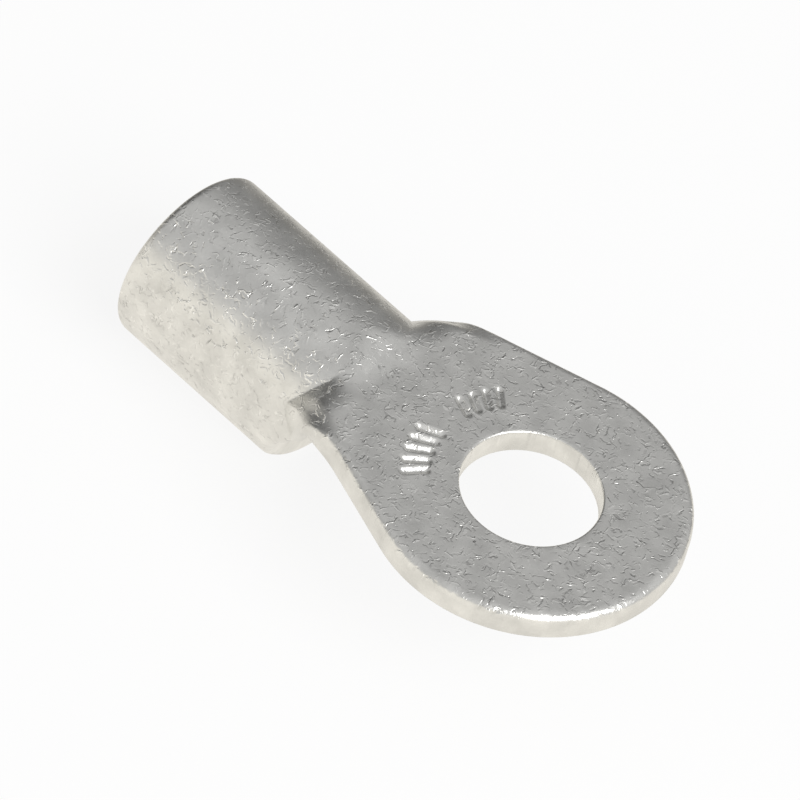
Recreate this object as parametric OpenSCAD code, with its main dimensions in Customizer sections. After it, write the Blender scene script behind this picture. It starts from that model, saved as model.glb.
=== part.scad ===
// Ring terminal for a crimped wire: one folded copper sheet, a flat tongue with a
// stud hole and a rolled barrel with a brazed butt seam.
//
// Frame: the origin is the centre of the stud hole on the contact face, +Z is the
// axis of the hole and points out of that face, and the wire leaves along -X.

/* [Sheet] */
// Thickness of the sheet
sheet_t = 1.1; // [0.9:0.05:1.3]
// Radius rolled over on the punched edges of the outer face
roll_r = 0.35; // [0.2:0.05:0.4]
// Radius left on the punched edges of the inner face
burr_r = 0.1; // [0.05:0.05:0.15]

/* [Tongue] */
// Diameter of the stud hole
stud_d = 5.3; // [4.3:0.1:6.4]
// Width of the ring around the stud hole
ring_w = 12.1; // [11.5:0.1:12.5]
// Taper of each side of the neck, from the ring down to the barrel, in degrees
neck_taper = 18.4; // [16:0.2:20]

/* [Barrel] */
// Outer diameter of the rolled barrel
barrel_od = 7.2; // [6.9:0.1:7.4]
// Length of the barrel along its seam
barrel_len = 7.9; // [7:0.1:9.5]
// Height of the barrel's top above the contact face
top_step = 0.4; // [0.3:0.05:0.5]
// Width of the groove along the brazed seam
seam_w = 0.5; // [0.3:0.05:0.7]
// Depth of the groove along the brazed seam
seam_depth = 0.12; // [0.1:0.02:0.2]

/* [Shoulder] */
// Distance from the stud hole's axis to the barrel's front rim
rim_x = 9.6; // [9.4:0.1:10.5]
// Length of the notch between the neck and the barrel's rim
notch_l = 3.4; // [3.1:0.1:3.7]
// Angle around the barrel from its top to the place where the notch ends, in degrees
notch_turn = 143; // [138:1:148]
// Length of the formed shoulder, from the flat neck to the barrel's front rim
shoulder_l = 2.8; // [2.6:0.1:3]

/* [Hidden] */

// Colour of the matt tin plate
tin = [0.78, 0.78, 0.75];
// Facets of each true circle
round_fn = 96;
// Distance that the faceted shoulder stays inside the true faces that it joins
inset = 0.01;
// Distance that the faceted shoulder reaches into the barrel's wall
lap = 0.5;
// Distance that a cutting shape reaches past what it cuts
past = 1;

ring_r = ring_w / 2;
barrel_r = barrel_od / 2;
bore_r = barrel_r - sheet_t;
axis_z = top_step - barrel_r;

// A place in the sheet is x (negative towards the wire), s (the distance from the
// centre line, around the outer face) and w (the depth under the outer face).

// Distance around the outer face of the barrel, from its top to an angle
function around(angle) = barrel_r * angle * PI / 180;

// 0 before from, 1 after to, and smooth between them
function ramp(v, from, to) =
    let (u = max(0, min(1, (v - from) / (to - from)))) u * u * (3 - 2 * u);

// ---- Outline of the notch in the flat blank ----
// It is part of an ellipse, which touches the side of the neck at the angle notch_from
// and ends at the barrel's front rim.
notch_x = rim_x - notch_l;
notch_s = around(notch_turn);
neck_spread = notch_s + notch_x * tan(neck_taper) - ring_r / cos(neck_taper);
notch_w = sqrt(pow(neck_spread, 2) - pow(notch_l * tan(neck_taper), 2));
notch_from = -atan(tan(neck_taper) * notch_l / notch_w);

// End of the neck's straight side, where the notch starts
neck_x = notch_x + notch_l * sin(notch_from);
neck_s = notch_s - notch_w * cos(notch_from);

// ---- Form of the shoulder ----
// The flattened neck leaves a sharp crease on each side of the barrel, from crease_s to
// crease_end. It starts at crease_x, and bows back by crease_run.
crease_s = around(27);
crease_end = around(64);
crease_x = rim_x - 1.4;
crease_run = 1.05;
crease_bow = 1.6;
// Beyond the crease the sheet leaves the barrel further forward, up to side_x at side_s
side_s = around(98);
side_x = rim_x - 2.1;
// Start of the gentle slope along the top of the barrel
top_x = rim_x - 0.6;
// The sheet is flat in front of flat_x. At its sides, between the widths in droop_s, it
// starts to droop as soon as the neck ends.
flat_x = rim_x - shoulder_l;
droop_s = [around(49), around(66)];
// Share of the slope in which the sheet curls up, before it levels out. It is top_curl on
// the centre line, and falls to crease_curl between the widths in curl_s.
top_curl = 0.5;
crease_curl = 0.05;
curl_s = [around(13), around(32)];
// Distance that the inner face leaves the barrel in front of the outer face, at the crease
bend_shift = 0.5;

// Distance at which the sheet leaves the barrel's round form, at the width s
function leave_x(s) =
    s < crease_s ? top_x + (crease_x - top_x) * ramp(s, 0, crease_s)
    : s < crease_end
        ? crease_x + crease_run * pow((s - crease_s) / (crease_end - crease_s), crease_bow)
    : crease_x + crease_run
        + (side_x - crease_x - crease_run) * ramp(s, crease_end, side_s);

// Share of the slope in which the sheet curls up, at the width s
function curl_share(s) =
    top_curl + (crease_curl - top_curl) * ramp(s, curl_s[0], curl_s[1]);

// Distance at which the sheet becomes flat, at the width s
function level_x(s) = flat_x + (neck_x - flat_x) * ramp(s, droop_s[0], droop_s[1]);

// How flat the sheet is at a place: 0 on the barrel and 1 on the tongue
function flatness(x, s, w) =
    let (
        leave = leave_x(s) - bend_shift * ramp(s, 0, crease_end) * w / sheet_t,
        u = max(0, min(1, (x + leave) / (leave - level_x(s)))),
        c = curl_share(s)
    )
    u < c ? u * u / c : 1 - (1 - u) * (1 - u) / (1 - c);

// Point of the formed sheet
function formed(x, s, w) =
    let (
        t = flatness(x, abs(s), w),
        a = s / barrel_r * 180 / PI,
        r = barrel_r - w
    )
    [
        x,
        (1 - t) * r * sin(a) + t * s,
        (1 - t) * (axis_z + r * cos(a)) - t * w
    ];

// ---- Sections along the shoulder ----
// Steps of each rounding of the cut edge, points across each face, steps of the notch
arc_steps = 3;
across = 44;
notch_steps = 28;

// Outline of the sheet's cut edge: [distance in from the edge, depth]
edge_outline = concat(
    [for (i = [0:arc_steps]) let (a = 90 * i / arc_steps)
        [inset + roll_r * (1 - sin(a)), inset + roll_r * (1 - cos(a))]],
    [for (i = [0:arc_steps]) let (a = 90 * i / arc_steps)
        [inset + burr_r * (1 - cos(a)), sheet_t - inset - burr_r * (1 - sin(a))]]
);
edge_last = len(edge_outline) - 1;

// Closed section of the sheet. edge(d) gives the place at distance d in from the edge.
function section(edge) =
    let (
        side = [for (p = edge_outline) let (e = edge(p[0])) [e[0], e[1], p[1]]],
        top = side[0],
        low = side[edge_last]
    )
    [
        for (i = [0:edge_last]) formed(side[i][0], side[i][1], side[i][2]),
        for (i = [1:across - 1]) formed(low[0], low[1] * (1 - 2 * i / across), low[2]),
        for (i = [edge_last:-1:0]) formed(side[i][0], -side[i][1], side[i][2]),
        for (i = [1:across - 1]) formed(top[0], top[1] * (2 * i / across - 1), top[2])
    ];

// Edge along the neck's straight side, ahead of the notch
function neck_edge(ahead) = function(d) [
    ahead - neck_x - d * sin(neck_taper),
    neck_s + ahead * tan(neck_taper) - d * cos(neck_taper)
];

// Edge along the notch, from the neck (notch_from) to the barrel's rim (90)
function notch_edge(phi) = let (n = [notch_w * sin(phi), notch_l * cos(phi)]) function(d) [
    -notch_x - notch_l * sin(phi) - d * n[0] / norm(n),
    notch_s - notch_w * cos(phi) - d * n[1] / norm(n)
];

// Edge inside the barrel's wall, behind the rim
function barrel_edge(behind) = function(d) [-rim_x - roll_r - behind, notch_s - d];

// Triangles that close a section of n points, which start at the point first
function cap(n, first) =
    let (
        left = edge_last + across,
        low = function(i) first + left - i,
        top = function(i) first + (left + edge_last + i) % n
    )
    concat(
        [for (i = [0:across - 1]) [low(i), top(i), low(i + 1)]],
        [for (i = [0:across - 1]) [low(i + 1), top(i), top(i + 1)]],
        [for (start = [0, left], i = [1:edge_last - 1])
            [first + start, first + start + i, first + start + i + 1]]
    );

// Neck and shoulder, from inside the ring to inside the barrel's wall
module shoulder() {
    rings = concat(
        [section(neck_edge(neck_x - ring_r * sin(neck_taper)))],
        [for (i = [0:notch_steps])
            section(notch_edge(notch_from + (90 - notch_from) * i / notch_steps))],
        [section(barrel_edge(lap))]
    );
    n = len(rings[0]);
    last = len(rings) - 1;
    polyhedron(
        points = [for (r = rings) each r],
        faces = concat(
            cap(n, 0),
            [for (t = cap(n, last * n)) [t[2], t[1], t[0]]],
            [for (j = [0:last - 1], i = [0:n - 1])
                let (k = (i + 1) % n) [j * n + i, (j + 1) * n + i, j * n + k]],
            [for (j = [0:last - 1], i = [0:n - 1])
                let (k = (i + 1) % n) [j * n + k, (j + 1) * n + i, (j + 1) * n + k]]
        ),
        convexity = 8
    );
}

// ---- Barrel and ring ----

// Corner of radius r at [0, 0] that is taken off a sheet lying above and to the right
module edge_waste(r)
    difference() {
        translate([-past, -past])
            square(r + past);
        translate([r, r])
            circle(r, $fn = round_fn);
    }

// Both corners that are taken off a punched end of the sheet at x = 0
module end_waste() {
    edge_waste(burr_r);
    translate([0, sheet_t])
        mirror([0, 1])
            edge_waste(roll_r);
}

// Section of the sheet from x = 0 to length, with its outer face on top
module sheet_section(length, near_punched)
    difference() {
        square([length, sheet_t]);
        if (near_punched) end_waste();
        translate([length, 0])
            mirror([1, 0])
                end_waste();
    }

module barrel()
    translate([-rim_x, 0, axis_z])
        rotate([0, -90, 0])
            difference() {
                rotate_extrude($fn = round_fn)
                    translate([bore_r, 0])
                        rotate(90)
                            mirror([0, 1])
                                sheet_section(barrel_len, true);
                seam_groove();
            }

// Shallow groove where the two edges of the rolled sheet are brazed together
module seam_groove() {
    groove_r = (seam_w * seam_w / 4 + seam_depth * seam_depth) / (2 * seam_depth);
    translate([-barrel_r - groove_r + seam_depth, 0, -past])
        cylinder(h = barrel_len + 2 * past, r = groove_r, $fn = round_fn);
}

// Disc that the stud hole is punched in
module ring()
    rotate_extrude($fn = round_fn)
        translate([0, -sheet_t])
            sheet_section(ring_r, false);

module stud_hole()
    translate([0, 0, -sheet_t - past])
        cylinder(h = sheet_t + 2 * past, d = stud_d, $fn = round_fn);

module terminal()
    color(tin)
        difference() {
            union() {
                barrel();
                shoulder();
                ring();
            }
            stud_hole();
        }

terminal();
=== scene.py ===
"""Looks of a tin-plated ring terminal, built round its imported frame.

The terminal is made as the real one is: a flat blank is punched, its edges are rolled
over, plain marks are stamped into it, and the sheet is formed and rolled into a barrel.
Lengths are in millimetres until the finished mesh is brought to metres.
"""

import logging
import math
from dataclasses import dataclass, field
from typing import Any

import bmesh
import bpy
from mathutils import Matrix, Vector


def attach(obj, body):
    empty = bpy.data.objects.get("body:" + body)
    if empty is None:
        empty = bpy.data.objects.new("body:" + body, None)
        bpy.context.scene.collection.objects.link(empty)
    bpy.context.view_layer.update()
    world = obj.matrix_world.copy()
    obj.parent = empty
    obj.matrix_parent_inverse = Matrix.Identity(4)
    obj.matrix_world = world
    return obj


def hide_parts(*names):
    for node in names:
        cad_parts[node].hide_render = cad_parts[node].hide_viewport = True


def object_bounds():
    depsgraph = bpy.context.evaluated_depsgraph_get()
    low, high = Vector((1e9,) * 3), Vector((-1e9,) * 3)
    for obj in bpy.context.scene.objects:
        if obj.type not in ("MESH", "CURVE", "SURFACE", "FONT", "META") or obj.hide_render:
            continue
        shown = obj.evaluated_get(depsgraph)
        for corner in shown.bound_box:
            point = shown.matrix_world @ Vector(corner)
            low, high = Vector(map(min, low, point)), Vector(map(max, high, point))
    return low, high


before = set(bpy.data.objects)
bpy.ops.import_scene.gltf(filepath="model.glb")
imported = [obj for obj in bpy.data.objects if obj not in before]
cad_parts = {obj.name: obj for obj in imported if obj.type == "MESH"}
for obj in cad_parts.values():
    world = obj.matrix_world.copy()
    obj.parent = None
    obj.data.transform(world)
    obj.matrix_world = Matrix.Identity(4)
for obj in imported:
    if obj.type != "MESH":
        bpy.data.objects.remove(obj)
cad_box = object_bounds()

LOG = logging.getLogger("terminal")
MM = 0.001
TINY = 1e-4

Mesh = bmesh.types.BMesh
Vert = bmesh.types.BMVert
Edge = bmesh.types.BMEdge
Face = bmesh.types.BMFace


def ramp(value: float, start: float, stop: float) -> float:
    """Rises smoothly from 0 to 1.

    Args:
        value: Where the ramp is read.
        start: Value up to which the ramp is 0.
        stop: Value from which the ramp is 1.

    Returns:
        The height of the ramp, from 0 to 1.
    """
    share = max(0.0, min(1.0, (value - start) / (stop - start)))
    return share * share * (3 - 2 * share)


# ---- The sheet ----


@dataclass(frozen=True)
class SheetForm:
    """The form that the flat sheet is pressed and rolled into.

    A place in the sheet is x (negative towards the wire), s (the distance from the
    centre line, around the outer face) and w (the depth under the outer face). The
    turns are angles around the barrel from its top, in degrees.
    """

    thickness: float = 1.1
    barrel_r: float = 3.6
    top_step: float = 0.4
    rim_x: float = 9.6
    shoulder_l: float = 2.8
    crease_back: float = 1.4
    crease_run: float = 1.05
    crease_bow: float = 1.6
    side_back: float = 2.1
    neck_back: float = 4.22
    top_back: float = 0.6
    bend_shift: float = 0.5
    top_curl: float = 0.5
    crease_curl: float = 0.05
    crease_turn: float = 27.0
    crease_end_turn: float = 64.0
    side_turn: float = 98.0
    droop_turns: tuple[float, float] = (49.0, 66.0)
    curl_turns: tuple[float, float] = (13.0, 32.0)

    @property
    def crease_x(self) -> float:
        """Distance from the stud hole's axis at which the crease starts."""
        return self.rim_x - self.crease_back

    def around(self, angle: float) -> float:
        """Distance around the barrel's outer face, from its top to an angle in degrees."""
        return self.barrel_r * math.radians(angle)

    def leave_x(self, s: float) -> float:
        """Distance at which the sheet leaves the barrel's round form.

        Args:
            s: Width at which it is read, from the centre line.

        Returns:
            The distance from the stud hole's axis.
        """
        start, end = self.around(self.crease_turn), self.around(self.crease_end_turn)
        side = self.around(self.side_turn)
        far = self.crease_x + self.crease_run
        if s < start:
            top = self.rim_x - self.top_back
            return top + (self.crease_x - top) * ramp(s, 0, start)
        if s < end:
            share = (s - start) / (end - start)
            return self.crease_x + self.crease_run * share**self.crease_bow
        return far + (self.rim_x - self.side_back - far) * ramp(s, end, side)

    def level_x(self, s: float) -> float:
        """Distance at which the sheet becomes flat, at the width s."""
        flat_x, neck_x = self.rim_x - self.shoulder_l, self.rim_x - self.neck_back
        start, end = (self.around(turn) for turn in self.droop_turns)
        return flat_x + (neck_x - flat_x) * ramp(s, start, end)

    def curl_share(self, s: float) -> float:
        """Share of the slope in which the sheet curls up, at the width s."""
        start, end = (self.around(turn) for turn in self.curl_turns)
        return self.top_curl + (self.crease_curl - self.top_curl) * ramp(s, start, end)

    def flatness(self, x: float, s: float, w: float) -> float:
        """How flat the sheet is at a place.

        Args:
            x: Place along the sheet, negative towards the wire.
            s: Distance from the centre line, around the outer face.
            w: Depth under the outer face.

        Returns:
            A number from 0 on the barrel to 1 on the tongue.
        """
        level, curl = self.level_x(s), self.curl_share(s)
        to_end = ramp(s, 0, self.around(self.crease_end_turn))
        leave = self.leave_x(s) - self.bend_shift * to_end * w / self.thickness
        share = max(0.0, min(1.0, (x + leave) / (leave - level)))
        if share < curl:
            return share * share / curl
        return 1 - (1 - share) ** 2 / (1 - curl)

    def place(self, x: float, s: float, w: float) -> Vector:
        """Point of the formed sheet.

        Args:
            x: Place along the sheet, negative towards the wire.
            s: Place across the sheet, around its outer face.
            w: Depth under the outer face.

        Returns:
            The point, in millimetres in the part's frame.
        """
        flat = self.flatness(x, abs(s), w)
        angle, radius = s / self.barrel_r, self.barrel_r - w
        axis_z = self.top_step - self.barrel_r
        return Vector(
            (
                x,
                (1 - flat) * radius * math.sin(angle) + flat * s,
                (1 - flat) * (axis_z + radius * math.cos(angle)) - flat * w,
            )
        )


@dataclass
class Scriber:
    """Draws an outline in a mesh, as one chain of edges."""

    bm: Mesh
    tip: Vert

    def line_to(self, x: float, y: float) -> None:
        """Draws a straight edge from the tip to a point."""
        end = self.bm.verts.new((x, y, 0))
        self.bm.edges.new((self.tip, end))
        self.tip = end

    def arc(self, centre: Vector, angle: float, steps: int) -> list[Vert]:
        """Draws an arc from the tip.

        Args:
            centre: Centre of the arc.
            angle: Angle of the arc in radians, anticlockwise seen from above.
            steps: Number of edges in the arc.

        Returns:
            The arc's vertices, with the one that it starts at.
        """
        start, before = self.tip, set(self.bm.verts)
        made = bmesh.ops.spin(
            self.bm, geom=[start], cent=centre, axis=(0, 0, 1), angle=angle, steps=steps
        )
        self.tip = made["geom_last"][0]
        return [start] + [v for v in self.bm.verts if v not in before]

    def close(self, start: Vert) -> None:
        """Draws the last edge, from the tip to the vertex that the outline starts at."""
        self.bm.edges.new((self.tip, start))


@dataclass(frozen=True)
class Blank:
    """The flat sheet as it is punched, with its edges rolled over.

    It is punched as its half on the +s side and mirrored, so that its mesh is the same on
    both sides of the centre line.
    """

    form: SheetForm
    ring_w: float = 12.1
    stud_d: float = 5.3
    neck_taper: float = 18.4
    notch_l: float = 3.4
    notch_turn: float = 143.0
    barrel_len: float = 7.9
    roll_r: float = 0.35
    burr_r: float = 0.1
    hole_roll_r: float = 0.1
    roll_steps: int = 6
    burr_steps: int = 3
    arc_steps: int = 90

    @property
    def rear_x(self) -> float:
        """Distance from the stud hole's axis to the barrel's rear rim."""
        return self.form.rim_x + self.barrel_len

    @property
    def seam_s(self) -> float:
        """Half of the blank's width, where it is rolled into the barrel."""
        return self.form.around(180)

    def draw_outline(self, bm: Mesh) -> None:
        """Draws the outline of the half blank, from the tongue's tip round to its hole.

        Args:
            bm: Empty mesh that the outline is drawn in.
        """
        taper = math.radians(self.neck_taper)
        ring_r, rim_x = self.ring_w / 2, self.form.rim_x
        notch = Vector((self.notch_l - rim_x, self.form.around(self.notch_turn), 0))
        spread = notch.y - notch.x * math.tan(taper) - ring_r / math.cos(taper)
        notch_w = math.sqrt(spread**2 - (self.notch_l * math.tan(taper)) ** 2)
        turn = math.atan(math.tan(taper) * self.notch_l / notch_w)

        start = bm.verts.new((ring_r, 0, 0))
        pen = Scriber(bm, start)
        pen.arc(Vector(), math.pi / 2 + taper, self.arc_steps)
        pen.line_to(
            notch.x + self.notch_l * math.sin(turn), notch.y - self.notch_l * math.cos(turn)
        )
        notch_arc = pen.arc(notch, -math.pi / 2 - turn, self.arc_steps)
        bmesh.ops.scale(
            bm,
            vec=(1, notch_w / self.notch_l, 1),
            space=Matrix.Translation(-notch),
            verts=notch_arc,
        )
        pen.line_to(-rim_x, self.seam_s)
        pen.line_to(-self.rear_x, self.seam_s)
        pen.line_to(-self.rear_x, 0)
        pen.line_to(-self.stud_d / 2, 0)
        pen.arc(Vector(), -math.pi, self.arc_steps)
        pen.close(start)

    def on_open_side(self, item: Edge | Face) -> bool:
        """True on the centre line and on the seam, where the half blank stays open."""
        places = [v.co.y for v in item.verts]
        return any(all(abs(y - side) < TINY for y in places) for side in (0, self.seam_s))

    def punch(self) -> Mesh:
        """Punches the half blank and rolls its edges over.

        Returns:
            The half blank, open on the centre line and on the seam.
        """
        bm = bmesh.new()
        self.draw_outline(bm)
        bmesh.ops.contextual_create(bm, geom=list(bm.edges))
        made = bmesh.ops.extrude_face_region(bm, geom=list(bm.faces))
        low = [v for v in made["geom"] if isinstance(v, Vert)]
        bmesh.ops.translate(bm, vec=(0, 0, -self.form.thickness), verts=low)
        bmesh.ops.delete(
            bm, geom=[f for f in bm.faces if self.on_open_side(f)], context="FACES_ONLY"
        )
        stud_r = self.stud_d / 2 + TINY
        for height, radius, steps in (
            (0.0, self.roll_r, self.roll_steps),
            (-self.form.thickness, self.burr_r, self.burr_steps),
        ):
            rim = [
                e
                for e in bm.edges
                if all(abs(v.co.z - height) < TINY for v in e.verts)
                and len(e.link_faces) == 2
                and not self.on_open_side(e)
            ]
            hole = [e for e in rim if all(v.co.xy.length < stud_r for v in e.verts)]
            outer = [e for e in rim if e not in hole]
            for edges, size in ((outer, radius), (hole, min(radius, self.hole_roll_r))):
                bmesh.ops.bevel(
                    bm,
                    geom=edges,
                    offset=size,
                    offset_type="OFFSET",
                    segments=steps,
                    profile=0.5,
                    affect="EDGES",
                    clamp_overlap=False,
                    loop_slide=True,
                    material=-1,
                )
        return bm


def steps_between(start: float, stop: float, step: float) -> list[float]:
    """Evenly spaced places between two ends.

    Args:
        start: End that the places follow.
        stop: End that the places come before.
        step: Wanted distance from each place to the next.

    Returns:
        The places, without the two ends.
    """
    count = max(1, round((stop - start) / step))
    return [start + (stop - start) * i / count for i in range(1, count)]


@dataclass(frozen=True)
class BendGrid:
    """The lines that the blank's mesh is cut along, so that it can bend."""

    across: float = 0.1
    tongue: float = 0.24
    shoulder: float = 0.1
    crease: float = 0.04
    barrel: float = 0.5
    crease_front: float = 1.8
    shoulder_front: float = 4.4
    shoulder_back: float = 0.5

    def cut(self, bm: Mesh, blank: Blank) -> None:
        """Cuts the half blank along the grid's lines.

        Args:
            bm: The half blank.
            blank: The sizes that it was punched to.
        """
        form = blank.form
        rim = -form.rim_x
        stretches = [
            (-blank.rear_x, rim - self.shoulder_back, self.barrel),
            (rim - self.shoulder_back, rim, self.shoulder),
            (rim, rim + self.crease_front, self.crease),
            (rim + self.crease_front, rim + self.shoulder_front, self.shoulder),
            (rim + self.shoulder_front, blank.ring_w / 2, self.tongue),
        ]
        for start, stop, step in stretches:
            for x in [start, *steps_between(start, stop, step)]:
                self.slice(bm, Vector((x, 0, 0)), Vector((1, 0, 0)))
        for s in steps_between(0, blank.seam_s, self.across):
            self.slice(bm, Vector((0, s, 0)), Vector((0, 1, 0)))

    def slice(self, bm: Mesh, point: Vector, normal: Vector) -> None:
        """Cuts all faces along one plane."""
        bmesh.ops.bisect_plane(
            bm,
            geom=list(bm.faces) + list(bm.edges),
            dist=TINY,
            plane_co=point,
            plane_no=normal,
        )


@dataclass(frozen=True)
class StampedRow:
    """Plain short strokes stamped in a row round the stud hole. They spell nothing."""

    count: int
    middle: float
    lean: float
    radius: float = 4.3
    length: float = 0.85
    pitch: float = 0.52

    def strokes(self) -> list[tuple[Vector, Vector]]:
        """Places the strokes on the flat sheet.

        Returns:
            The start and end of each stroke.
        """
        made = []
        for i in range(self.count):
            step = i - (self.count - 1) / 2
            turn = math.radians(self.middle) - step * self.pitch / self.radius
            centre = Vector((math.cos(turn), math.sin(turn))) * self.radius
            along = turn + math.radians(self.lean)
            half = Vector((math.cos(along), math.sin(along))) * self.length / 2
            made.append((centre - half, centre + half))
        return made


@dataclass(frozen=True)
class Stamp:
    """The stamp that presses the rows of strokes into the outer face."""

    rows: tuple[StampedRow, ...] = (
        StampedRow(5, 208.0, 14.0),
        StampedRow(4, 160.0, -10.0, length=0.7, pitch=0.5),
    )
    half_width: float = 0.19
    depth: float = 0.13
    reach: float = 0.3
    refinements: int = 2
    facing: float = 0.99

    def press(self, bm: Mesh) -> None:
        """Presses the strokes into the outer face.

        Args:
            bm: The flat blank, which gets smaller faces near the strokes.
        """
        strokes = [stroke for row in self.rows for stroke in row.strokes()]
        for _ in range(self.refinements):
            near = [f for f in bm.faces if self.is_near(f, strokes)]
            edges = list(dict.fromkeys(e for f in near for e in f.edges))
            bmesh.ops.subdivide_edges(bm, edges=edges, cuts=1, use_grid_fill=True)
        for v in bm.verts:
            if v.co.z > -TINY:
                away = self.distance(v.co.to_2d(), strokes)
                v.co.z -= self.depth * max(0.0, 1 - away / self.half_width)

    def is_near(self, face: Face, strokes: list[tuple[Vector, Vector]]) -> bool:
        """Tells whether a face of the sheet's outer side is near a stroke.

        Args:
            face: Face of the flat blank.
            strokes: Start and end of each stroke.

        Returns:
            True where the stamp reaches.
        """
        centre = face.calc_center_median()
        if abs(face.normal.z) <= self.facing or centre.z <= -TINY:
            return False
        return self.distance(centre.to_2d(), strokes) < self.reach

    @staticmethod
    def distance(point: Vector, strokes: list[tuple[Vector, Vector]]) -> float:
        """Distance from a point to the nearest stroke.

        Args:
            point: Point on the flat sheet.
            strokes: Start and end of each stroke.

        Returns:
            The distance to the nearest stroke's middle line.
        """
        best = math.inf
        for a, b in strokes:
            line = b - a
            share = max(0.0, min(1.0, (point - a).dot(line) / line.length_squared))
            best = min(best, (point - a - line * share).length)
        return best


@dataclass
class Terminal:
    """The one piece of the object: the formed and plated sheet."""

    form: SheetForm = field(default_factory=SheetForm)
    grid: BendGrid = field(default_factory=BendGrid)
    stamp: Stamp = field(default_factory=Stamp)
    seam_w: float = 0.5
    seam_depth: float = 0.12
    cut_start: float = 0.08
    cut_full: float = 0.42
    burr_depth: float = 0.08

    def build(self) -> bpy.types.Object:
        """Punches, stamps, forms and closes the sheet.

        Returns:
            The terminal, in metres in the part's frame.
        """
        blank = Blank(self.form)
        bm = blank.punch()
        self.grid.cut(bm, blank)
        bmesh.ops.mirror(
            bm,
            geom=list(bm.verts) + list(bm.edges) + list(bm.faces),
            matrix=Matrix.Identity(4),
            merge_dist=TINY,
            axis="Y",
        )
        bmesh.ops.recalc_face_normals(bm, faces=bm.faces)
        self.mark_edges(bm)
        self.stamp.press(bm)
        self.groove_seam(bm, blank)
        self.keep_sheet_places(bm)
        for v in bm.verts:
            v.co = self.form.place(v.co.x, v.co.y, -v.co.z)
        bmesh.ops.remove_doubles(bm, verts=bm.verts, dist=TINY)
        bmesh.ops.recalc_face_normals(bm, faces=bm.faces)
        bmesh.ops.scale(bm, vec=(MM, MM, MM), verts=bm.verts)
        for f in bm.faces:
            f.smooth = True
        mesh = bpy.data.meshes.new("formed_terminal")
        bm.to_mesh(mesh)
        bm.free()
        piece = bpy.data.objects.new("formed_terminal", mesh)
        bpy.context.scene.collection.objects.link(piece)
        return piece

    def dress(self, piece: bpy.types.Object, finish: bpy.types.Material) -> None:
        """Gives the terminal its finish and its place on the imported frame.

        Args:
            piece: The formed terminal.
            finish: Material of its plating.
        """
        piece.data.materials.append(finish)
        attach(piece, "root")
        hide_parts("terminal")

    def mark_edges(self, bm: Mesh) -> None:
        """Marks the punched edges, from 0 on the sheet's faces to 1 on the cut.

        Args:
            bm: The flat blank, whose outer face is at height 0.
        """
        layer = bm.verts.layers.float.new("cut_edge")
        for v in bm.verts:
            depth = -v.co.z
            inner = self.form.thickness - depth
            from_outer = ramp(depth, self.cut_start, self.cut_full)
            v[layer] = from_outer * ramp(inner, 0.0, self.burr_depth)

    def groove_seam(self, bm: Mesh, blank: Blank) -> None:
        """Sinks the groove along the brazed seam into the outer face.

        Args:
            bm: The flat blank.
            blank: The sizes that it was punched to.
        """
        half = self.seam_w / 2
        for v in bm.verts:
            away = blank.seam_s - abs(v.co.y)
            if v.co.z > -TINY and away < half:
                v.co.z -= self.seam_depth * (1 - (away / half) ** 2)

    def keep_sheet_places(self, bm: Mesh) -> None:
        """Keeps each corner's place in the flat sheet, for the patterns of the finish.

        Args:
            bm: The flat blank.
        """
        layer = bm.loops.layers.float_vector.new("sheet")
        for f in bm.faces:
            for loop in f.loops:
                loop[layer] = Vector((loop.vert.co.x, loop.vert.co.y, -loop.vert.co.z))


# ---- Node graphs ----


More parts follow.
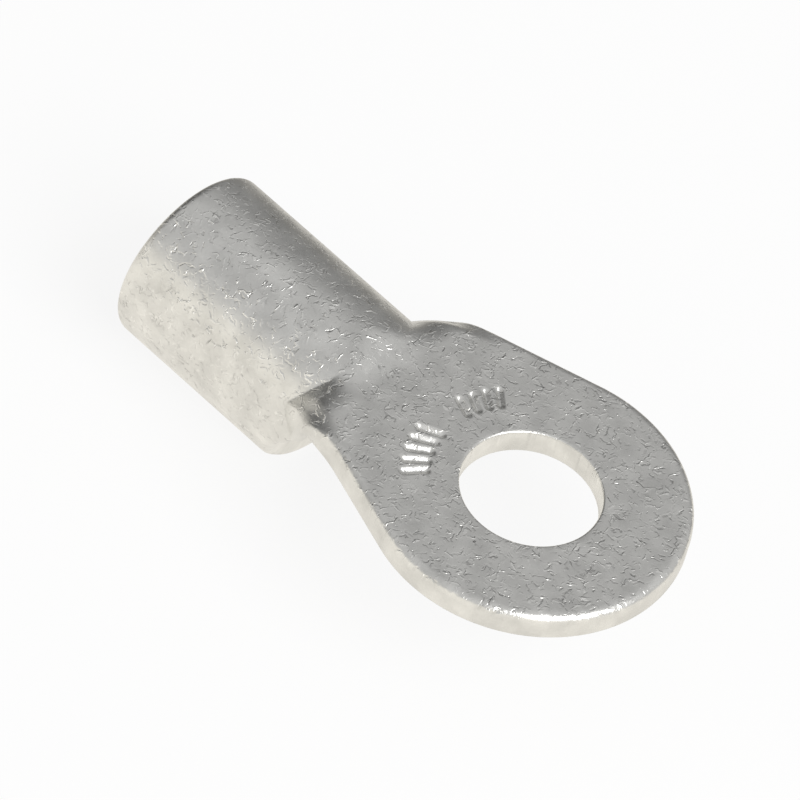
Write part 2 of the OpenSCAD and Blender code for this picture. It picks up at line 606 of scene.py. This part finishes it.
class Graph:
    """Adds nodes to one node tree and links them."""

    def __init__(self, tree: bpy.types.NodeTree) -> None:
        """Starts on a node tree."""
        self.tree = tree

    def add(
        self, kind: str, sockets: dict[str | int, Any] | None = None, **settings: Any
    ) -> bpy.types.Node:
        """Adds a node.

        Args:
            kind: The node's type, without the ShaderNode in front.
            sockets: Value or output socket for each named or numbered input.
            settings: The node's own settings.

        Returns:
            The node.
        """
        node = self.tree.nodes.new("ShaderNode" + kind)
        for name, value in settings.items():
            setattr(node, name, value)
        for key, value in (sockets or {}).items():
            self.put(node.inputs[key], value)
        return node

    def put(self, socket: bpy.types.NodeSocket, value: Any) -> None:
        """Sets an input to a value, or links it to an output socket."""
        if isinstance(value, bpy.types.NodeSocket):
            self.tree.links.new(value, socket)
        else:
            socket.default_value = value

    def math(self, operation: str, *values: Any) -> bpy.types.NodeSocket:
        """Result of a Math node."""
        node = self.add("Math", dict(enumerate(values)), operation=operation)
        return node.outputs[0]

    def vector(self, operation: str, *values: Any) -> bpy.types.NodeSocket:
        """Vector that a Vector Math node makes."""
        node = self.add("VectorMath", dict(enumerate(values)), operation=operation)
        return node.outputs[0]

    def dot(self, first: Any, second: Any) -> bpy.types.NodeSocket:
        """Dot product of two vectors."""
        node = self.add("VectorMath", {0: first, 1: second}, operation="DOT_PRODUCT")
        return node.outputs["Value"]

    def scale(self, vector: Any, factor: Any) -> bpy.types.NodeSocket:
        """Vector times a number."""
        node = self.add("VectorMath", {0: vector, 3: factor}, operation="SCALE")
        return node.outputs[0]

    def fade(
        self, value: Any, start: Any, stop: Any, low: Any = 0.0, high: Any = 1.0
    ) -> bpy.types.NodeSocket:
        """Makes a number that goes smoothly from low to high.

        Args:
            value: What the number follows.
            start: Value at which it is low.
            stop: Value at which it is high.
            low: The number at start and before it.
            high: The number at stop and after it.

        Returns:
            The number's socket.
        """
        sockets = {
            "Value": value,
            "From Min": start,
            "From Max": stop,
            "To Min": low,
            "To Max": high,
        }
        return self.add("MapRange", sockets, interpolation_type="SMOOTHSTEP").outputs[0]

    def mix(self, share: Any, first: Any, second: Any) -> bpy.types.NodeSocket:
        """Mixes two colours.

        Args:
            share: Share of the second colour, from 0 to 1.
            first: Colour at share 0.
            second: Colour at share 1.

        Returns:
            The mixed colour's socket.
        """
        node = self.add("Mix", data_type="RGBA")
        values = {"Factor_Float": share, "A_Color": first, "B_Color": second}
        for name, value in values.items():
            socket = next(i for i in node.inputs if i.identifier == name)
            self.put(socket, value)
        return next(o for o in node.outputs if o.identifier == "Result_Color")


class Effect:
    """A shader node group with named inputs and outputs, built once."""

    name = "effect"
    inputs: dict[str, tuple[str, Any]] = {}
    outputs: dict[str, str] = {}

    def __init__(self) -> None:
        """Makes the group and its sockets, and fills it."""
        self.tree = bpy.data.node_groups.new(self.name, "ShaderNodeTree")
        for name, (kind, value) in self.inputs.items():
            socket = self.tree.interface.new_socket(name, in_out="INPUT", socket_type=kind)
            if value is not None:
                socket.default_value = value
        for name, kind in self.outputs.items():
            self.tree.interface.new_socket(name, in_out="OUTPUT", socket_type=kind)
        start = self.tree.nodes.new("NodeGroupInput").outputs
        end = self.tree.nodes.new("NodeGroupOutput").inputs
        self.fill(Graph(self.tree), start, end)

    def fill(self, graph: Graph, start: Any, end: Any) -> None:
        """Builds the inside of the group, between its inputs and its outputs."""
        raise NotImplementedError

    def use(self, graph: Graph, **sockets: Any) -> Any:
        """Places the group in a material.

        Args:
            graph: The material's graph.
            sockets: What goes in each input, by its name in lower case.

        Returns:
            The outputs of the placed group.
        """
        node = graph.add("Group", node_tree=self.tree)
        for name, value in sockets.items():
            graph.put(node.inputs[name.replace("_", " ").title()], value)
        return node.outputs


FLOAT, VECTOR, COLOR = "NodeSocketFloat", "NodeSocketVector", "NodeSocketColor"


class TumbleMarks(Effect):
    """Short, slightly bowed marks in all directions, from tumbling among other parts. The
    mask is the marks' real shape. The tone is a random lightness for each mark and is
    painted glint and painted shade of their slopes.
    """

    name = "tumble_marks"
    inputs = {
        "Place": (VECTOR, None),
        "Spacing": (FLOAT, 1.0),
        "Length": (FLOAT, 0.8),
        "Width": (FLOAT, 0.06),
        "Share": (FLOAT, 0.7),
        "Seed": (FLOAT, 0.0),
    }
    outputs = {"Mask": FLOAT, "Tone": FLOAT}
    bow = 0.12
    blunt_from = 0.6
    glint_tone_spread = 7.3

    def fill(self, graph: Graph, start: Any, end: Any) -> None:
        """Draws one mark in each cell of a cell pattern, turned at random."""
        shifted = graph.vector("ADD", start["Place"], start["Seed"])
        place = graph.scale(shifted, graph.math("DIVIDE", 1.0, start["Spacing"]))
        cells = graph.add(
            "TexVoronoi", {"Vector": place, "Scale": 1.0}, voronoi_dimensions="2D"
        ).outputs
        chance = graph.add("SeparateColor", {0: cells["Color"]}).outputs
        turned = graph.add(
            "VectorRotate",
            {
                "Vector": graph.vector("SUBTRACT", place, cells["Position"]),
                "Angle": graph.math("MULTIPLY", chance[0], math.tau),
            },
            rotation_type="Z_AXIS",
        ).outputs[0]
        along = graph.add("SeparateXYZ", {0: turned}).outputs
        bow = graph.math("MULTIPLY", graph.math("POWER", along[0], 2.0), self.bow)
        across = graph.math("ABSOLUTE", graph.math("ADD", along[1], bow))
        half = graph.math("DIVIDE", graph.math("MULTIPLY", start["Length"], chance[2]), 2.0)
        thin = graph.fade(across, start["Width"], 0.0)
        blunt = graph.math("MULTIPLY", half, self.blunt_from)
        short = graph.fade(graph.math("ABSOLUTE", along[0]), half, blunt)
        there = graph.math("LESS_THAN", chance[1], start["Share"])
        mask = graph.math("MULTIPLY", graph.math("MULTIPLY", thin, short), there)
        graph.put(end["Mask"], mask)
        # Random lightness of each mark: painted glint or painted shade of its slope.
        spread = graph.math("MULTIPLY", chance[0], self.glint_tone_spread)
        graph.put(end["Tone"], graph.fade(graph.math("FRACT", spread), 0.0, 1.0))


class Mottle(Effect):
    """Soft cloudy tone of a plated face."""

    name = "mottle"
    inputs = {"Place": (VECTOR, None), "Scale": (FLOAT, 1.0), "Detail": (FLOAT, 3.0)}
    outputs = {"Tone": FLOAT}

    def fill(self, graph: Graph, start: Any, end: Any) -> None:
        """Puts out noise, centred on 0."""
        noise = graph.add(
            "TexNoise",
            {"Vector": start["Place"], "Scale": start["Scale"], "Detail": start["Detail"]},
        ).outputs[0]
        graph.put(end["Tone"], graph.math("SUBTRACT", noise, 0.5))


class Pits(Effect):
    """Small round pits, some of them with a dark floor."""

    name = "pits"
    inputs = {
        "Place": (VECTOR, None),
        "Spacing": (FLOAT, 1.0),
        "Radius": (FLOAT, 0.1),
        "Share": (FLOAT, 0.3),
    }
    outputs = {"Mask": FLOAT}

    def fill(self, graph: Graph, start: Any, end: Any) -> None:
        """Puts a spot at the middle of some cells of a cell pattern."""
        place = graph.scale(start["Place"], graph.math("DIVIDE", 1.0, start["Spacing"]))
        cells = graph.add("TexVoronoi", {"Vector": place, "Scale": 1.0}).outputs
        chance = graph.add("SeparateColor", {0: cells["Color"]}).outputs
        radius = graph.math("MULTIPLY", start["Radius"], chance[1])
        spot = graph.fade(cells["Distance"], radius, 0.0)
        there = graph.math("LESS_THAN", chance[0], start["Share"])
        graph.put(end["Mask"], graph.math("MULTIPLY", spot, there))


# ---- Finishes ----


@dataclass(frozen=True)
class Marks:
    """One size of tumbling marks.

    Spacing and width are in millimetres, and the length is a share of the spacing. Share is
    the share of places that have a mark. The weight sets how much lighter or darker each
    mark is painted in the colour, as painted glints and painted shade on its slopes.
    """

    spacing: float
    length: float
    width: float
    share: float
    strength: float
    seed: float


@dataclass(frozen=True)
class TinPlate:
    """Matt tin plate on a punched and tumbled sheet.

    Scales are per millimetre, and tones are shares of the base colour. The lighter and
    darker tumbling marks in the base colour are painted glints and painted shade of the
    marks' slopes. Their bump is real.
    """

    base: tuple[float, float, float] = (0.80, 0.795, 0.77)
    dark: float = 0.55
    light: float = 1.25
    roughness: float = 0.32
    marks: tuple[Marks, ...] = (
        Marks(0.62, 0.95, 0.055, 0.95, 0.45, 3.1),
        Marks(0.5, 0.95, 0.06, 0.95, 0.42, 17.7),
        Marks(0.44, 0.95, 0.055, 0.95, 0.42, 41.3),
        Marks(0.38, 0.95, 0.05, 0.95, 0.36, 67.9),
        Marks(0.33, 0.95, 0.05, 0.95, 0.33, 88.2),
        Marks(0.55, 0.95, 0.05, 0.95, 0.42, 123.4),
        Marks(0.95, 0.9, 0.045, 0.6, 0.48, 151.9),
    )

    wave_scale: float = 2.6
    wave_size: float = 0.35
    patch_scale: float = 1.7
    cloud_scale: float = 0.9
    cloud_tone: float = 0.6
    grain_scale: float = 9.0
    grain_tone: float = 0.12
    grain_roughness: float = 0.15
    pit_spacing: float = 0.8
    pit_radius: float = 0.16
    pit_share: float = 0.35
    pit_tone: float = 0.35
    bump_strength: float = 1.0
    bump_distance: float = 0.0003

    def material(
        self, strokes: TumbleMarks, mottle: Mottle, pits: Pits
    ) -> bpy.types.Material:
        """Makes the material.

        Args:
            strokes: Group that draws the tumbling marks.
            mottle: Group that makes the cloudy tone.
            pits: Group that makes the pits.

        Returns:
            The material, which reads the sheet and cut_edge attributes of its mesh.
        """
        made = bpy.data.materials.new("tin_plate")
        made.use_nodes = True
        graph = Graph(made.node_tree)
        shader = made.node_tree.nodes["Principled BSDF"]
        flat = graph.add("Attribute", attribute_name="sheet").outputs["Vector"]
        wave = graph.add(
            "TexNoise",
            {"Vector": flat, "Scale": self.wave_scale, "Detail": 2.0},
            noise_dimensions="2D",
        ).outputs["Color"]
        bend = graph.vector("SUBTRACT", wave, (0.5, 0.5, 0.5))
        size = (self.wave_size, self.wave_size, 0.0)
        sheet = graph.vector("ADD", flat, graph.vector("MULTIPLY", bend, size))
        edge = graph.add("Attribute", attribute_name="cut_edge").outputs["Fac"]
        face = graph.math("SUBTRACT", 1.0, edge)

        patches = mottle.use(graph, place=flat, scale=self.patch_scale, detail=3.0)
        patch = graph.fade(patches["Tone"], -0.2, 0.12)
        tone: Any = 0.0
        height: Any = 0.0
        for marks in self.marks:
            mark = strokes.use(
                graph,
                place=sheet,
                spacing=marks.spacing,
                length=marks.length,
                width=marks.width / marks.spacing,
                share=marks.share,
                seed=marks.seed,
            )
            # Each mark's random lightness is painted glint or painted shade. Its height
            # below makes a real bump.
            glint_and_shade_tone = graph.math("SUBTRACT", mark["Tone"], 0.5)
            glint_and_shade_tone = graph.math("MULTIPLY", glint_and_shade_tone, patch)
            part = graph.math("MULTIPLY", glint_and_shade_tone, mark["Mask"])
            tone = graph.math("ADD", tone, graph.math("MULTIPLY", part, marks.strength))
            rise = graph.math("MULTIPLY", part, 2 * marks.width)
            height = graph.math("ADD", height, rise)
        tone = graph.math("MULTIPLY", tone, face)
        height = graph.math("MULTIPLY", height, face)
        cloud = mottle.use(graph, place=sheet, scale=self.cloud_scale, detail=6.0)["Tone"]
        grain = mottle.use(graph, place=sheet, scale=self.grain_scale, detail=2.0)["Tone"]
        tone = graph.math("ADD", tone, graph.math("MULTIPLY", cloud, self.cloud_tone))
        tone = graph.math("ADD", tone, graph.math("MULTIPLY", grain, self.grain_tone))
        pit = pits.use(
            graph,
            place=sheet,
            spacing=self.pit_spacing,
            radius=self.pit_radius,
            share=self.pit_share,
        )["Mask"]
        tone = graph.math("SUBTRACT", tone, graph.math("MULTIPLY", pit, self.pit_tone))
        level = graph.add(
            "Clamp",
            {0: graph.math("ADD", tone, 1.0), "Min": self.dark, "Max": self.light},
        ).outputs[0]
        # Base colour: the plate's cloudy tone, grain and pits, with the marks' painted
        # glints and painted shade.
        graph.put(shader.inputs["Base Color"], graph.scale(self.base, level))
        shader.inputs["Metallic"].default_value = 1.0
        uneven = graph.math("MULTIPLY", grain, self.grain_roughness)
        graph.put(shader.inputs["Roughness"], graph.math("ADD", self.roughness, uneven))
        bump = graph.add(
            "Bump",
            {
                "Height": height,
                "Strength": self.bump_strength,
                "Distance": self.bump_distance,
            },
        ).outputs[0]
        graph.put(shader.inputs["Normal"], bump)
        return made


@dataclass(frozen=True)
class PaleFloor:
    """Matt white surface that the terminal lies over.

    In the terminal's reflections its colour is mirrored, a glowing colour: a painted
    reflection, a pool of painted light. It falls to far_tone of that between the distances
    near and far, in metres, in the direction behind.
    """

    color: tuple[float, float, float] = (1.0, 1.0, 1.0)
    glow: float = 0.85
    mirrored: tuple[float, float, float] = (0.93, 0.9, 0.84)
    behind: tuple[float, float, float] = (-0.6, 0.8, 0.0)
    near: float = 0.013
    far: float = 0.04
    far_tone: float = 0.25

    def material(self) -> bpy.types.Material:
        """Makes the material.

        Returns:
            The material, which is near white where the object's shadow doesn't fall. In
            reflections it shows a painted pool of light instead.
        """
        made = bpy.data.materials.new("pale_floor")
        made.use_nodes = True
        graph = Graph(made.node_tree)
        tree = made.node_tree
        tree.nodes.remove(tree.nodes["Principled BSDF"])
        matt = graph.add("BsdfDiffuse", {"Color": (*self.color, 1)}).outputs[0]
        white = graph.add("Emission", {"Color": (1, 1, 1, 1), "Strength": 1.0}).outputs[0]
        path = graph.add("LightPath").outputs
        seen = graph.math("MULTIPLY", path["Is Camera Ray"], self.glow)
        shown = graph.add("MixShader", {0: seen, 1: matt, 2: white}).outputs[0]
        # Painted reflection: in mirror rays the floor glows, bright near the object and
        # dimmer behind it.
        place = graph.add("TexCoord").outputs["Object"]
        fall = graph.fade(
            graph.dot(place, self.behind), self.near, self.far, 1.0, self.far_tone
        )
        painted_light_pool = graph.add(
            "Emission", {"Color": (*self.mirrored, 1), "Strength": fall}
        ).outputs[0]
        bounced = graph.math("MAXIMUM", path["Is Glossy Ray"], path["Is Transmission Ray"])
        mixed = graph.add("MixShader", {0: bounced, 1: shown, 2: painted_light_pool}).outputs[0]
        graph.put(tree.nodes["Material Output"].inputs["Surface"], mixed)
        return made


# ---- Surroundings ----


def direction(azimuth: float, elevation: float) -> Vector:
    """Direction from the object, as a unit vector.

    Args:
        azimuth: Angle round the object in radians, from the front (-Y) towards +X.
        elevation: Angle above the floor, in radians.

    Returns:
        The unit vector.
    """
    level = math.cos(elevation)
    return Vector(
        (math.sin(azimuth) * level, -math.cos(azimuth) * level, math.sin(elevation))
    )


@dataclass(frozen=True)
class Softbox:
    """A square lamp that faces the object.

    Its angles are in degrees, its lengths in metres and its power in watts.
    """

    name: str
    azimuth: float
    elevation: float
    distance: float
    size: float
    power: float

    def hang(self, target: Vector) -> None:
        """Hangs the lamp round a target point.

        Args:
            target: Point that the lamp faces.
        """
        lamp = bpy.data.lights.new(self.name, "AREA")
        lamp.shape = "SQUARE"
        lamp.size = self.size
        lamp.energy = self.power
        holder = bpy.data.objects.new(self.name, lamp)
        bpy.context.scene.collection.objects.link(holder)
        back = direction(math.radians(self.azimuth), math.radians(self.elevation))
        holder.location = target + back * self.distance
        holder.rotation_mode = "QUATERNION"
        holder.rotation_quaternion = (-back).to_track_quat("-Z", "Y")


@dataclass(frozen=True)
class Studio:
    """Pale floor, soft light and a room that is darker behind the object.

    The half of the room that low_side points away from has low_light. The rest has
    high_light, which falls to dark_light towards dark_side, and to rear_share of itself
    towards -X. Each fade is between two cosines of the angle to such a direction.
    """

    floor: PaleFloor = field(default_factory=PaleFloor)
    floor_drop: float = 0.00002
    floor_size: float = 1.2
    lamps: tuple[Softbox, ...] = (Softbox("key_softbox", 78.0, 42.0, 0.5, 0.35, 1.5),)
    low_side: tuple[float, float, float] = (0.0, 0.434, 0.901)
    low_light: tuple[float, float, float] = (0.97, 0.94, 0.87)
    dark_side: tuple[float, float, float] = (-0.75, 0.66, -0.25)
    high_light: float = 0.56
    dark_light: float = 0.25
    rear_share: float = 0.35
    low_fade: tuple[float, float] = (-0.08, 0.22)
    dark_fade: tuple[float, float] = (0.3, 0.75)
    rear_fade: tuple[float, float] = (0.55, 0.95)

    def build(self, low: Vector, middle: Vector) -> None:
        """Makes the floor, the room and the lamps.

        Args:
            low: Lowest corner of the object's box.
            middle: Middle of the object's box.
        """
        bm = bmesh.new()
        bmesh.ops.create_grid(bm, x_segments=1, y_segments=1, size=self.floor_size)
        bmesh.ops.translate(bm, vec=(0, 0, low.z - self.floor_drop), verts=bm.verts)
        mesh = bpy.data.meshes.new("floor")
        bm.to_mesh(mesh)
        bm.free()
        mesh.materials.append(self.floor.material())
        floor = bpy.data.objects.new("floor", mesh)
        bpy.context.scene.collection.objects.link(floor)
        self.light_room()
        for lamp in self.lamps:
            lamp.hang(middle)

    def light_room(self) -> None:
        """Makes the world, which lights the object from all around."""
        world = bpy.data.worlds.new("studio_room")
        bpy.context.scene.world = world
        world.use_nodes = True
        graph = Graph(world.node_tree)
        towards = graph.add("TexCoord").outputs["Generated"]
        tilt = graph.dot(towards, self.low_side)
        away = graph.dot(towards, self.dark_side)
        rear = graph.dot(towards, (-1.0, 0.0, 0.0))
        above = graph.fade(away, *self.dark_fade, self.high_light, self.dark_light)
        behind = graph.fade(rear, *self.rear_fade, 1.0, self.rear_share)
        above = graph.math("MULTIPLY", above, behind)
        level = graph.mix(graph.fade(tilt, *self.low_fade), (*self.low_light, 1), above)
        background = world.node_tree.nodes["Background"]
        graph.put(background.inputs["Color"], level)


@dataclass(frozen=True)
class Viewpoint:
    """The camera. Its angles are in degrees and its lengths in millimetres.

    Aside and above move it across its own view, away from the stud hole's middle. The
    clip distances are in metres.
    """

    azimuth: float = 33.28
    elevation: float = 48.39
    roll: float = 15.27
    distance: float = 300.0
    aside: float = -4.76
    above: float = 3.19
    lens: float = 373.5
    film_width: float = 36.0
    clip_near: float = 0.01
    clip_far: float = 10.0

    def place(self) -> None:
        """Makes the camera and gives it to the scene."""
        turn, roll = math.radians(self.azimuth), math.radians(self.roll)
        back = direction(turn, math.radians(self.elevation))
        level = Vector((math.cos(turn), math.sin(turn), 0))
        upright = back.cross(level)
        right = level * math.cos(roll) + upright * math.sin(roll)
        up = upright * math.cos(roll) - level * math.sin(roll)
        data = bpy.data.cameras.new("camera")
        data.lens = self.lens
        data.sensor_width = self.film_width
        data.clip_start, data.clip_end = self.clip_near, self.clip_far
        camera = bpy.data.objects.new("camera", data)
        bpy.context.scene.collection.objects.link(camera)
        axes = Matrix((right, up, back)).transposed().to_4x4()
        spot = right * self.aside + up * self.above + back * self.distance
        camera.matrix_world = Matrix.Translation(spot * MM) @ axes
        bpy.context.scene.camera = camera


def main() -> None:
    """Builds the terminal and its surroundings."""
    logging.basicConfig(level=logging.INFO, format="%(name)s: %(message)s")
    view = bpy.context.scene.view_settings
    view.view_transform = "Standard"

    terminal = Terminal()
    piece = terminal.build()
    terminal.dress(piece, TinPlate().material(TumbleMarks(), Mottle(), Pits()))
    LOG.info("%s: %d faces", piece.name, len(piece.data.polygons))

    low, high = cad_box
    Studio().build(low, (low + high) / 2)
    LOG.info("studio: floor at %.2f mm", low.z / MM)
    Viewpoint().place()


if __name__ == "__main__":
    main()
